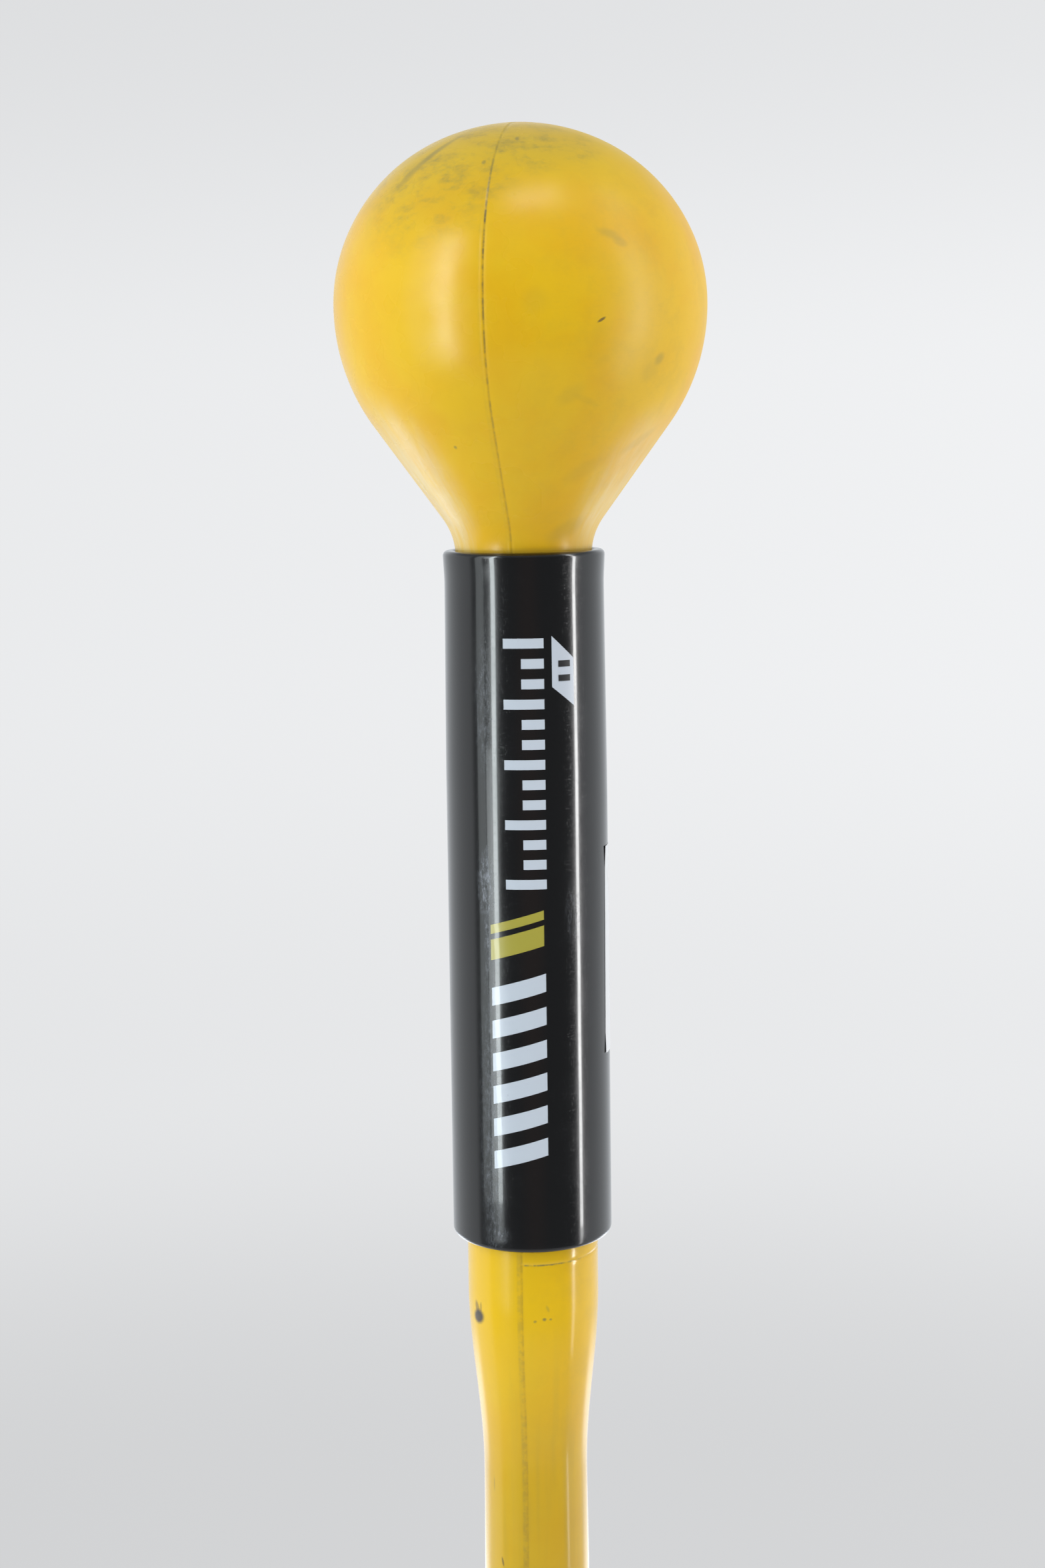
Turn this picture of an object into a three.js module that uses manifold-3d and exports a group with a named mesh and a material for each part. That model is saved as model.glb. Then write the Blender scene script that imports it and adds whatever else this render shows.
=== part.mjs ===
// A flexible golf swing trainer: a weighted ball head on a vinyl-covered fibreglass rod, with a rigid black
// sleeve round its neck and a rubber golf grip at its butt. Millimetres, +Z up: the origin is the centre of
// the grip's end face, the head is at the top, and the printed side of the sleeve faces -Y.
// The rod and its vinyl cover are each one piece on a real stick, which bends along its whole free length.
// Here a single sprung hinge stands in for that bend, so both are cut there, and the cut ends are relieved
// to shallow cones that clear each other at the hinge's limits.
import * as THREE from "three";
import { mergeVertices } from "three/addons/utils/BufferGeometryUtils.js";
import Module from "manifold-3d";

const wasm = await Module();
wasm.setup();

// ---- Driving dimensions ----
const TOTAL_LENGTH = 1219.2; // a 48 inch stick
const CLEARANCE = 0.3; // between pieces that touch on the real object

const HEAD_RADIUS = 38;
const CROWN_HEIGHT = 36; // equator to crown: the top half is a little flat
const LOWER_HALF_HEIGHT = 39.8; // the ellipse under the equator is a little long
const CONE_SLOPE = 0.726; // loss of radius per millimetre under the ball
const THROAT_FILLET = 13; // between the cone and the neck

// Drops are measured down from the head's equator.
const NECK_RADIUS = 14.1;
const SLEEVE_TOP_DROP = 49.3;
const SLEEVE_LENGTH = 145.7;
const SLEEVE_BORE_RADIUS = 14.5;
const SLEEVE_TOP_RADIUS = 16.5;
const SLEEVE_MIDDLE_RADIUS = 16.85;
const SLEEVE_MIDDLE_DROP = 95;
const SLEEVE_BOTTOM_RADIUS = 17.05;
const SLEEVE_LIP_FLARE = 0.25;
const SLEEVE_EDGE_ROUND = 1.1;

const TAPER_TOP_DROP = 208; // where the neck begins to narrow
const WAIST_DROP = 248;
const WAIST_RADIUS = 11.3;
const SHAFT_TOP_DROP = 275;
const SHAFT_TOP_RADIUS = 11.5;
const BUTT_RADIUS = 7.6; // of the cover inside the grip
const ROD_RADIUS = 5;

const GRIP_LENGTH = 267;
const GRIP_MOUTH_RADIUS = 10.5;
const GRIP_BUTT_RADIUS = 13.2;
const GRIP_CAP_RADIUS = 14.4;
const GRIP_CAP_HEIGHT = 6;
const GRIP_CAP_WALL = 5;
const GRIP_EDGE_ROUND = 2;
const GRIP_CHAMFER = 1.2;
const VENT_RADIUS = 1.6;
const TAPE_THICKNESS = 0.25;
const TAPE_START = 12;
const TAPE_END = 255;

const CORE_RADIUS = 21;
const TUBE_OUTER_RADIUS = 8;
const TUBE_BOTTOM_DROP = 204;
const TUBE_TOP_DROP = 6;
const ROD_TOP_RISE = 8; // above the head's equator, in the core's blind bore
const PIN_RADIUS = 2;
const PIN_DROPS = [80, 180];
const PIN_RECESS = 0.2; // of each end below the tube's surface

const LABEL_HEIGHT = 45;
const LABEL_TOP_DROP = 110.8;
const LABEL_THICKNESS = 0.25;
const LABEL_LIFT = 0.05; // off the sleeve
const LABEL_START = THREE.MathUtils.degToRad(-19); // front edge, from +X towards +Y
const LABEL_SWEEP = THREE.MathUtils.degToRad(95);

// An end-loaded springy rod moves as if it turned about a point 15% of its free length from its root.
const FLEX_PIVOT_SHARE = 0.15;
const FLEX_LIMIT = THREE.MathUtils.degToRad(20);
const FLEX_CONE_MARGIN = THREE.MathUtils.degToRad(0.5); // of extra relief on each cut end
const FLEX_GAP = 0.2; // from a cut end to the hinge's axis, on the centre line

const COVER_SIDES = 40;
const SLEEVE_SIDES = 40;
const GRIP_SIDES = 32;
const ROD_SIDES = 20;

// ---- Derived places ----
const HEAD_Z = TOTAL_LENGTH - CROWN_HEIGHT;
const SLEEVE_TOP_Z = HEAD_Z - SLEEVE_TOP_DROP;
const SLEEVE_BOTTOM_Z = SLEEVE_TOP_Z - SLEEVE_LENGTH;
const SHAFT_TOP_Z = HEAD_Z - SHAFT_TOP_DROP;
const SHAFT_END_Z = GRIP_CAP_WALL + CLEARANCE;
const ROD_BORE_RADIUS = ROD_RADIUS + CLEARANCE;
const TAPE_RADIUS = BUTT_RADIUS + CLEARANCE;
const GRIP_BORE_RADIUS = TAPE_RADIUS + TAPE_THICKNESS + CLEARANCE;
const FLEX_Z = GRIP_LENGTH + FLEX_PIVOT_SHARE * (HEAD_Z - GRIP_LENGTH);
const FLEX_SLOPE = Math.tan(FLEX_LIMIT / 2 + FLEX_CONE_MARGIN);

// ---- Materials ----
const finish = (color, roughness, metalness = 0) =>
  new THREE.MeshStandardMaterial({ color, roughness, metalness });
const YELLOW_VINYL = finish(0xe8b820, 0.4);
const BLACK_PLASTIC = finish(0x1b1b1d, 0.15);
const GRIP_RUBBER = finish(0x17181a, 0.75);
const GRIP_TAPE = finish(0xd8cfae, 0.8);
const FIBREGLASS = finish(0xd9d2b4, 0.5);
const STEEL = finish(0x8f9296, 0.35, 1);
const WHITE_LABEL = finish(0xf2f2f0, 0.45);

// ---- Helpers ----
const at = (r, z) => new THREE.Vector2(r, z);

// Points of an ellipse arc about (0, z), from one angle to another, in degrees above the equator.
function ellipseArc(radius, height, z, from, to, steps) {
  return Array.from({ length: steps + 1 }, (_, i) => {
    const t = THREE.MathUtils.degToRad(from + ((to - from) * i) / steps);
    const r = Math.abs(Math.cos(t)) < 1e-9 ? 0 : radius * Math.cos(t);
    return at(r, z + height * Math.sin(t));
  });
}

// Points of a circle arc about any centre, for rounded edges.
function roundEdge(r, z, radius, from, to, steps = 4) {
  return Array.from({ length: steps + 1 }, (_, i) => {
    const t = THREE.MathUtils.degToRad(from + ((to - from) * i) / steps);
    return at(r + radius * Math.cos(t), z + radius * Math.sin(t));
  });
}

// A closed outline, given up the outside and down the inside, turned about Z.
function turned(outline, sides) {
  const lathe = new THREE.LatheGeometry([...outline, outline[0]], sides);
  return lathe.rotateX(Math.PI / 2);
}

function mesh(name, geometry, material) {
  const made = new THREE.Mesh(geometry, material);
  made.name = name;
  return made;
}

function solid(geometry) {
  const bare = geometry.clone();
  bare.deleteAttribute("normal");
  bare.deleteAttribute("uv");
  const merged = mergeVertices(bare, 1e-4);
  return new wasm.Manifold(
    new wasm.Mesh({
      numProp: 3,
      vertProperties: merged.getAttribute("position").array,
      triVerts: new Uint32Array(merged.index.array),
    }),
  );
}

function cut(geometry, tools) {
  let left = solid(geometry);
  for (const tool of tools) left = left.subtract(solid(tool));
  const made = left.getMesh();
  return new THREE.BufferGeometry()
    .setAttribute("position", new THREE.BufferAttribute(made.vertProperties, 3))
    .setIndex(new THREE.BufferAttribute(made.triVerts, 1));
}

// A bar along Y through the stick's axis, for a cross pin or its hole.
const crossBar = (radius, length, z) =>
  new THREE.CylinderGeometry(radius, radius, length, 12).translate(0, 0, z);

// The cover's outer radius between the grip's mouth and the top of the shaft.
const shaftRadius = (z) =>
  THREE.MathUtils.mapLinear(z, GRIP_LENGTH, SHAFT_TOP_Z, BUTT_RADIUS, SHAFT_TOP_RADIUS);

// A point at radius r on the cut end above (side 1) or below (side -1) the hinge.
const cutEnd = (r, side) => at(r, FLEX_Z + side * (FLEX_GAP + r * FLEX_SLOPE));

// ---- Vinyl cover: the ball, neck and shaft above the hinge, and the shaft below it ----
function ballAndNeck() {
  const tangent = Math.atan((CONE_SLOPE * LOWER_HALF_HEIGHT) / HEAD_RADIUS);
  const coneStart = -THREE.MathUtils.radToDeg(tangent);
  const belly = ellipseArc(HEAD_RADIUS, LOWER_HALF_HEIGHT, HEAD_Z, coneStart, 0, 5).slice(0, -1);
  const crown = ellipseArc(HEAD_RADIUS, CROWN_HEIGHT, HEAD_Z, 0, 90, 10);
  // The fillet is tangent to the neck and to the cone.
  const coneAngle = Math.atan(CONE_SLOPE);
  const cornerZ = belly[0].y - (belly[0].x - NECK_RADIUS) / CONE_SLOPE;
  const filletZ = cornerZ - THROAT_FILLET * Math.tan(coneAngle / 2);
  const filletEnd = 180 - THREE.MathUtils.radToDeg(coneAngle);
  const fillet = roundEdge(NECK_RADIUS + THROAT_FILLET, filletZ, THROAT_FILLET, 180, filletEnd);
  const narrowing = NECK_RADIUS - WAIST_RADIUS;
  const neck = new THREE.SplineCurve([
    at(SHAFT_TOP_RADIUS, SHAFT_TOP_Z),
    at(WAIST_RADIUS + 0.1, HEAD_Z - WAIST_DROP - 10),
    at(WAIST_RADIUS, HEAD_Z - WAIST_DROP),
    at(WAIST_RADIUS + 0.2 * narrowing, HEAD_Z - WAIST_DROP + 8),
    at(NECK_RADIUS - 0.1 * narrowing, HEAD_Z - TAPER_TOP_DROP - 6),
    at(NECK_RADIUS, HEAD_Z - TAPER_TOP_DROP),
  ]).getPoints(14);
  return [...neck, ...fillet, ...belly, ...crown];
}

function coverUpper() {
  const tubePocket = TUBE_OUTER_RADIUS + CLEARANCE;
  const corePocket = CORE_RADIUS + CLEARANCE;
  const pocketStart = -THREE.MathUtils.radToDeg(Math.acos(tubePocket / corePocket));
  const pocketBottom = HEAD_Z - TUBE_BOTTOM_DROP - CLEARANCE;
  const outline = [
    cutEnd(shaftRadius(FLEX_Z), 1),
    ...ballAndNeck(),
    ...ellipseArc(corePocket, corePocket, HEAD_Z, 90, pocketStart, 12),
    at(tubePocket, pocketBottom),
    at(ROD_BORE_RADIUS, pocketBottom),
    cutEnd(ROD_BORE_RADIUS, 1),
  ];
  return mesh("cover_upper", turned(outline, COVER_SIDES), YELLOW_VINYL);
}

function coverLower() {
  const outline = [
    at(ROD_BORE_RADIUS, SHAFT_END_Z),
    at(BUTT_RADIUS, SHAFT_END_Z),
    at(BUTT_RADIUS, GRIP_LENGTH),
    cutEnd(shaftRadius(FLEX_Z), -1),
    cutEnd(ROD_BORE_RADIUS, -1),
  ];
  return mesh("cover_lower", turned(outline, COVER_SIDES), YELLOW_VINYL);
}

// ---- Rod: the part in the head, neck and upper shaft, and the part in the grip ----
const pinHoles = () =>
  PIN_DROPS.map((drop) => crossBar(PIN_RADIUS + CLEARANCE, 4 * TUBE_OUTER_RADIUS, HEAD_Z - drop));

function rodUpper() {
  const top = HEAD_Z + ROD_TOP_RISE;
  const outline = [cutEnd(0, 1), cutEnd(ROD_RADIUS, 1), at(ROD_RADIUS, top), at(0, top)];
  return mesh("rod_upper", cut(turned(outline, ROD_SIDES), pinHoles()), FIBREGLASS);
}

function rodLower() {
  const outline = [
    at(0, SHAFT_END_Z),
    at(ROD_RADIUS, SHAFT_END_Z),
    cutEnd(ROD_RADIUS, -1),
    cutEnd(0, -1),
  ];
  return mesh("rod_lower", turned(outline, ROD_SIDES), FIBREGLASS);
}

// ---- Inside the head and neck ----
function weightCore() {
  const tubeBore = TUBE_OUTER_RADIUS + CLEARANCE;
  const shoulder = HEAD_Z - TUBE_TOP_DROP + CLEARANCE;
  const boreTop = HEAD_Z + ROD_TOP_RISE + CLEARANCE;
  const start = -THREE.MathUtils.radToDeg(Math.acos(tubeBore / CORE_RADIUS));
  const outline = [
    ...ellipseArc(CORE_RADIUS, CORE_RADIUS, HEAD_Z, start, 90, 10),
    at(0, boreTop),
    at(ROD_BORE_RADIUS, boreTop),
    at(ROD_BORE_RADIUS, shoulder),
    at(tubeBore, shoulder),
  ];
  return mesh("weight_core", turned(outline, 24), STEEL);
}

function neckTube() {
  const top = HEAD_Z - TUBE_TOP_DROP;
  const bottom = HEAD_Z - TUBE_BOTTOM_DROP;
  const outline = [
    at(ROD_BORE_RADIUS, bottom),
    at(TUBE_OUTER_RADIUS, bottom),
    at(TUBE_OUTER_RADIUS, top),
    at(ROD_BORE_RADIUS, top),
  ];
  return mesh("neck_tube", cut(turned(outline, 24), pinHoles()), STEEL);
}

const neckPins = () =>
  PIN_DROPS.map((drop, i) => {
    const pin = crossBar(PIN_RADIUS, 2 * (TUBE_OUTER_RADIUS - PIN_RECESS), HEAD_Z - drop);
    return mesh(`neck_pin_${i + 1}`, pin, STEEL);
  });

// ---- Sleeve and its label ----
function sleeve() {
  const e = SLEEVE_EDGE_ROUND;
  const lip = SLEEVE_TOP_RADIUS + SLEEVE_LIP_FLARE;
  const outline = [
    at(SLEEVE_BORE_RADIUS, SLEEVE_BOTTOM_Z),
    ...roundEdge(SLEEVE_BOTTOM_RADIUS - e, SLEEVE_BOTTOM_Z + e, e, -90, 0),
    at(SLEEVE_MIDDLE_RADIUS, HEAD_Z - SLEEVE_MIDDLE_DROP),
    at(SLEEVE_TOP_RADIUS, SLEEVE_TOP_Z - 7),
    ...roundEdge(lip - e, SLEEVE_TOP_Z - e, e, 0, 90),
    at(SLEEVE_BORE_RADIUS, SLEEVE_TOP_Z),
  ];
  return mesh("sleeve", turned(outline, SLEEVE_SIDES), BLACK_PLASTIC);
}

// A sticker round the side and back of the sleeve: a curved strip, clear of the facets under it.
function label() {
  const inner = SLEEVE_BOTTOM_RADIUS + LABEL_LIFT;
  const outer = inner + LABEL_THICKNESS;
  const strip = new THREE.Shape();
  strip.absarc(0, 0, outer, LABEL_START, LABEL_START + LABEL_SWEEP, false);
  strip.absarc(0, 0, inner, LABEL_START + LABEL_SWEEP, LABEL_START, true);
  const geometry = new THREE.ExtrudeGeometry(strip, {
    depth: LABEL_HEIGHT,
    bevelEnabled: false,
    curveSegments: 14,
  });
  geometry.translate(0, 0, HEAD_Z - LABEL_TOP_DROP - LABEL_HEIGHT);
  return mesh("sleeve_label", geometry, WHITE_LABEL);
}

// ---- Grip: a closed cap with a vent hole and a long tapered body, on a layer of tape ----
function grip() {
  const e = GRIP_EDGE_ROUND;
  const c = GRIP_CHAMFER;
  const outline = [
    at(VENT_RADIUS, 0),
    ...roundEdge(GRIP_CAP_RADIUS - e, e, e, -90, 0),
    at(GRIP_CAP_RADIUS, GRIP_CAP_HEIGHT - c),
    at(GRIP_BUTT_RADIUS, GRIP_CAP_HEIGHT + c),
    at(GRIP_MOUTH_RADIUS, GRIP_LENGTH - c),
    at(GRIP_MOUTH_RADIUS - c / 2, GRIP_LENGTH),
    at(GRIP_BORE_RADIUS, GRIP_LENGTH),
    at(GRIP_BORE_RADIUS, GRIP_CAP_WALL),
    at(VENT_RADIUS, GRIP_CAP_WALL),
  ];
  return mesh("grip", turned(outline, GRIP_SIDES), GRIP_RUBBER);
}

function gripTape() {
  const outline = [
    at(TAPE_RADIUS, TAPE_START),
    at(TAPE_RADIUS + TAPE_THICKNESS, TAPE_START),
    at(TAPE_RADIUS + TAPE_THICKNESS, TAPE_END),
    at(TAPE_RADIUS, TAPE_END),
  ];
  return mesh("grip_tape", turned(outline, COVER_SIDES), GRIP_TAPE);
}

const stick = new THREE.Group();
stick.add(
  coverUpper(),
  coverLower(),
  rodUpper(),
  rodLower(),
  weightCore(),
  neckTube(),
  ...neckPins(),
  sleeve(),
  label(),
  grip(),
  gripTape(),
);

export default stick;
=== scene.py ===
import math

import bpy
import numpy as np
from mathutils import Matrix, Vector, noise


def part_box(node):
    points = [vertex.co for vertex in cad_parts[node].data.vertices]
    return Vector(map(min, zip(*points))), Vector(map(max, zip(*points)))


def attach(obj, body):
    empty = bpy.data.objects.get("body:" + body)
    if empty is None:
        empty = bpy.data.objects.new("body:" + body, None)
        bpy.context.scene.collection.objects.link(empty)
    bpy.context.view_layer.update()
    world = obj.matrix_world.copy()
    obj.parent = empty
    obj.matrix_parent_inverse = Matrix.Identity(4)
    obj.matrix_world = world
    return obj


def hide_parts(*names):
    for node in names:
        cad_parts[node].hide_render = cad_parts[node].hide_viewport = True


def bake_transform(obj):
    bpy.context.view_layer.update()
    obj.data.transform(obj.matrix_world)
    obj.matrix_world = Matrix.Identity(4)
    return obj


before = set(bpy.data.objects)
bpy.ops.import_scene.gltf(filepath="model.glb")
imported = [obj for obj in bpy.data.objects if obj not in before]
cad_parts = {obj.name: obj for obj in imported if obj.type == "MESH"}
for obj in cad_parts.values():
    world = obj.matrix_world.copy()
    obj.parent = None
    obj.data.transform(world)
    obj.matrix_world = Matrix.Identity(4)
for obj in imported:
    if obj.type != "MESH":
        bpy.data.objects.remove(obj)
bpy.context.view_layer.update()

# A flexible golf swing trainer: a yellow vinyl-covered stick with a ball head, a printed black sleeve and a
# rubber grip. Lengths are in millimetres until a mesh is made. A drop is measured down from the ball's
# equator, and an azimuth in degrees from the printed side, -Y, towards +X.
MM = 0.001

# ---- Sizes ----
CROWN_HEIGHT = 36.0
LOWER_HALF_HEIGHT = 39.8
CONE_SLOPE = 0.726
THROAT_FILLET = 13.0
NECK_RADIUS = 14.1
TAPER_TOP_DROP = 208.0
WAIST_DROP = 248.0
WAIST_RADIUS = 11.3
SHAFT_TOP_DROP = 275.0
SHAFT_TOP_RADIUS = 11.5
BUTT_RADIUS = 7.6
ROD_RADIUS = 5.0
CLEARANCE = 0.3

SEAM_AZIMUTH = -11.3
NECK_RING_DROP = 198.6

SLEEVE_BORE_RADIUS = 14.5
SLEEVE_TOP_RADIUS = 16.5
SLEEVE_MIDDLE_RADIUS = 16.85
SLEEVE_MIDDLE_DROP = 95.0
SLEEVE_LIP_FLARE = 0.25
SLEEVE_LIP_HEIGHT = 7.0
SLEEVE_EDGE_ROUND = 1.1
SLEEVE_INNER_ROUND = 0.5


def box_mm(node):
    low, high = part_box(node)
    return low / MM, high / MM


HEAD_RADIUS = box_mm("cover_upper")[1].x
HEAD_Z = box_mm("cover_upper")[1].z - CROWN_HEIGHT
SHAFT_END_Z = box_mm("cover_lower")[0].z
GRIP_LENGTH = box_mm("grip")[1].z
GRIP_CAP_RADIUS = box_mm("grip")[1].x
SLEEVE_TOP_DROP = HEAD_Z - box_mm("sleeve")[1].z
SLEEVE_BOTTOM_DROP = HEAD_Z - box_mm("sleeve")[0].z
SLEEVE_BOTTOM_RADIUS = box_mm("sleeve")[1].x
SHAFT_TOP_Z = HEAD_Z - SHAFT_TOP_DROP


# ---- Camera ----
CAMERA_DISTANCE = 484.0
CAMERA_BELOW_HEAD = 26.0
CAMERA_SIDE = -0.9
CAMERA_LENS = 53.6
CAMERA_SENSOR_WIDTH = 36.0
CAMERA_PITCH = math.radians(8.5)
CAMERA_ROLL = math.radians(-0.78)


def make_camera():
    data = bpy.data.cameras.new("camera")
    data.lens = CAMERA_LENS
    data.sensor_width = CAMERA_SENSOR_WIDTH
    camera = bpy.data.objects.new("camera", data)
    bpy.context.scene.collection.objects.link(camera)
    place = Vector((CAMERA_SIDE, -CAMERA_DISTANCE, HEAD_Z - CAMERA_BELOW_HEAD)) * MM
    ahead = Vector((0, math.cos(CAMERA_PITCH), -math.sin(CAMERA_PITCH)))
    aim = ahead.to_track_quat("-Z", "Y").to_matrix() @ Matrix.Rotation(CAMERA_ROLL, 3, "Z")
    camera.matrix_world = Matrix.Translation(place) @ aim.to_4x4()
    bpy.context.scene.camera = camera


# ---- Meshes ----
def link_mesh(name, points, faces, sharp_angle=50.0):
    """A smooth-shaded mesh object from points in millimetres."""
    mesh = bpy.data.meshes.new(name)
    mesh.from_pydata((np.asarray(points, float) * MM).tolist(), [], faces)
    mesh.update()
    mesh.shade_smooth()
    mesh.set_sharp_from_angle(angle=math.radians(sharp_angle))
    made = bpy.data.objects.new(name, mesh)
    bpy.context.scene.collection.objects.link(made)
    return made


def arc(centre_r, centre_z, radius, start, end, steps):
    """Points (r, z) of a circle arc, angles in degrees from +r towards +z."""
    turns = np.radians(np.linspace(start, end, steps + 1))
    return [(centre_r + radius * math.cos(t), centre_z + radius * math.sin(t)) for t in turns]


def even_columns(count):
    """A columns function for turn(), with that many evenly spaced azimuths in radians."""
    angles = np.linspace(0, 2 * math.pi, count, endpoint=False)
    return lambda radius: angles


def turn(name, outline, columns, offset=None, closed=True, sharp_angle=50.0):
    """Turns an outline of (r, z), up the outside and down the inside, about Z.

    columns(r) gives a ring's azimuths. offset(azimuth, r, z) moves each point along the outline's normal."""
    outline = np.array(outline, float)
    count = len(outline)
    ahead = np.roll(outline, -1, axis=0) - outline
    behind = outline - np.roll(outline, 1, axis=0)
    if not closed:
        ahead[-1] = behind[-1]
        behind[0] = ahead[0]
    along = ahead / np.maximum(np.linalg.norm(ahead, axis=1), 1e-9)[:, None]
    along += behind / np.maximum(np.linalg.norm(behind, axis=1), 1e-9)[:, None]
    along /= np.maximum(np.linalg.norm(along, axis=1), 1e-9)[:, None]
    normals = np.stack([along[:, 1], -along[:, 0]], axis=1)
    points = []
    rings = []
    for (r, z), (normal_r, normal_z) in zip(outline, normals):
        if r < 1e-6:
            rings.append([len(points)])
            points.append((0, 0, z))
            continue
        azimuths = columns(r)
        rings.append(range(len(points), len(points) + len(azimuths)))
        shift = offset(azimuths, r, z) if offset else 0
        radii = r + shift * normal_r
        heights = z + shift * normal_z + 0 * azimuths
        points.extend(zip(radii * np.sin(azimuths), -radii * np.cos(azimuths), heights))
    faces = []
    for i in range(count if closed else count - 1):
        faces.extend(strip_faces(rings[i], rings[(i + 1) % count]))
    return link_mesh(name, points, faces, sharp_angle)


def strip_faces(low, high):
    """Faces between two rings of vertices, either of which can be a single pole."""
    if len(low) == 1 and len(high) == 1:
        return []
    n = max(len(low), len(high))
    if len(low) == 1:
        return [(low[0], high[(j + 1) % n], high[j]) for j in range(n)]
    if len(high) == 1:
        return [(low[j], low[(j + 1) % n], high[0]) for j in range(n)]
    return [(low[j], low[(j + 1) % n], high[(j + 1) % n], high[j]) for j in range(n)]


def smooth(t):
    """0 below t = 0, 1 above t = 1, and smooth between them."""
    t = min(1.0, max(0.0, t))
    return t * t * (3 - 2 * t)


# ---- Vinyl cover: ball, neck and shaft in one moulding ----
SEAM_WINDOW = 2.4
SEAM_STEPS = [0, 0.12, 0.24, 0.38, 0.55, 0.8, 1.15, 1.7, SEAM_WINDOW]
COLUMNS_BETWEEN_SEAMS = 74
SHAFT_RINGS = 180
NECK_RINGS = 150
CONE_RINGS = 14
BELLY_RINGS = 26
CROWN_RINGS = 52
BORE_RINGS = 60
NECK_RING_STEPS = (-1.5, -0.9, -0.5, -0.25, 0, 0.25, 0.5, 0.9, 1.5)


def seam_columns(radius):
    """Azimuths of one ring, close together at the parting line on both sides of the stick."""
    spread = min(1.0 / radius, 0.5 / SEAM_WINDOW)
    near = [-s * spread for s in reversed(SEAM_STEPS[1:])] + [s * spread for s in SEAM_STEPS]
    window = SEAM_WINDOW * spread
    far = np.linspace(window, math.pi - window, COLUMNS_BETWEEN_SEAMS + 2)[1:-1]
    half = np.concatenate([near, far]) + math.radians(SEAM_AZIMUTH)
    return np.concatenate([half, half + math.pi])


def shaft_radius(z):
    """Radius of the tapered shaft; the part inside the grip is straight."""
    share = (z - GRIP_LENGTH) / (SHAFT_TOP_Z - GRIP_LENGTH)
    return BUTT_RADIUS + (SHAFT_TOP_RADIUS - BUTT_RADIUS) * min(1.0, max(0.0, share))


def neck_radius(z):
    """Radius from the top of the shaft to the throat under the ball."""
    drop = HEAD_Z - z
    if drop >= WAIST_DROP:
        growth = smooth((drop - WAIST_DROP) / (SHAFT_TOP_DROP - WAIST_DROP))
        return WAIST_RADIUS + (SHAFT_TOP_RADIUS - WAIST_RADIUS) * growth
    narrowing = smooth((drop - TAPER_TOP_DROP) / (WAIST_DROP - TAPER_TOP_DROP))
    return NECK_RADIUS + (WAIST_RADIUS - NECK_RADIUS) * narrowing


def cover_outline():
    """Outer profile from the butt to the crown, then the inner one from the core's pocket to the butt."""
    shaft = [(shaft_radius(z), z) for z in np.linspace(SHAFT_END_Z, SHAFT_TOP_Z, SHAFT_RINGS)[:-1]]
    cone_angle = math.atan(CONE_SLOPE)
    tangent = math.atan(CONE_SLOPE * LOWER_HALF_HEIGHT / HEAD_RADIUS)
    belly_turns = np.linspace(-tangent, 0, BELLY_RINGS)[:-1]
    belly = [(HEAD_RADIUS * math.cos(t), HEAD_Z + LOWER_HALF_HEIGHT * math.sin(t)) for t in belly_turns]
    corner_z = belly[0][1] - (belly[0][0] - NECK_RADIUS) / CONE_SLOPE
    fillet_z = corner_z - THROAT_FILLET * math.tan(cone_angle / 2)
    fillet_end = 180 - math.degrees(cone_angle)
    fillet = arc(NECK_RADIUS + THROAT_FILLET, fillet_z, THROAT_FILLET, 180, fillet_end, 12)
    cone = np.linspace(fillet[-1], belly[0], CONE_RINGS)[1:-1].tolist()
    ring_z = HEAD_Z - NECK_RING_DROP
    near_ring = [ring_z + step for step in NECK_RING_STEPS]
    plain = [z for z in np.linspace(SHAFT_TOP_Z, fillet_z, NECK_RINGS)[:-1] if abs(z - ring_z) > 2]
    neck = [(neck_radius(z), z) for z in sorted(plain + near_ring)]
    crown_turns = np.linspace(0, math.pi / 2, CROWN_RINGS)
    crown = [(HEAD_RADIUS * math.cos(t), HEAD_Z + CROWN_HEIGHT * math.sin(t)) for t in crown_turns]
    crown[-1] = (0, HEAD_Z + CROWN_HEIGHT)
    return shaft + neck + fillet + cone + belly + crown + cover_inside()


def cover_inside():
    """The pocket round the weight core, then the bores for the neck tube and the rod."""
    core = box_mm("weight_core")[1].x + CLEARANCE
    tube = box_mm("neck_tube")[1].x + CLEARANCE
    tube_end = box_mm("neck_tube")[0].z - CLEARANCE
    bore = ROD_RADIUS + CLEARANCE
    pocket = arc(0, HEAD_Z, core, 90, -math.degrees(math.acos(tube / core)), 20)
    pocket[0] = (0, HEAD_Z + core)
    tube_wall = [(tube, z) for z in np.linspace(pocket[-1][1], tube_end, 12)[1:]]
    bore_wall = [(bore, z) for z in np.linspace(tube_end, SHAFT_END_Z, BORE_RINGS)]
    return pocket + tube_wall + bore_wall


def cover_offset(azimuths, r, z):
    """Parting line, the mould's half ring under the sleeve, and the slight unevenness of the vinyl."""
    if r <= ROD_RADIUS + CLEARANCE + 0.01:
        return 0 * azimuths
    seam = math.radians(SEAM_AZIMUTH)
    side = r * np.sin(azimuths - seam) * np.sign(np.cos(azimuths - seam))
    ridge = 0.06 * bell(side, 0.0, 0.3) - 0.06 * bell(side, 0.42, 0.22)
    step = 0.05 / (1 + np.exp(-side / 0.15)) * np.exp(-np.maximum(side, 0) / 1.6)
    half_ring = (azimuths > seam) & (azimuths < seam + math.pi)
    from_ring = HEAD_Z - z - NECK_RING_DROP
    ring = 0.05 * bell(from_ring, -0.6, 0.4) - 0.11 * bell(from_ring, 0.0, 0.3)
    waves = np.array([uneven(r, azimuth, z) for azimuth in azimuths])
    return ridge - step + ring * half_ring + waves


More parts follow.
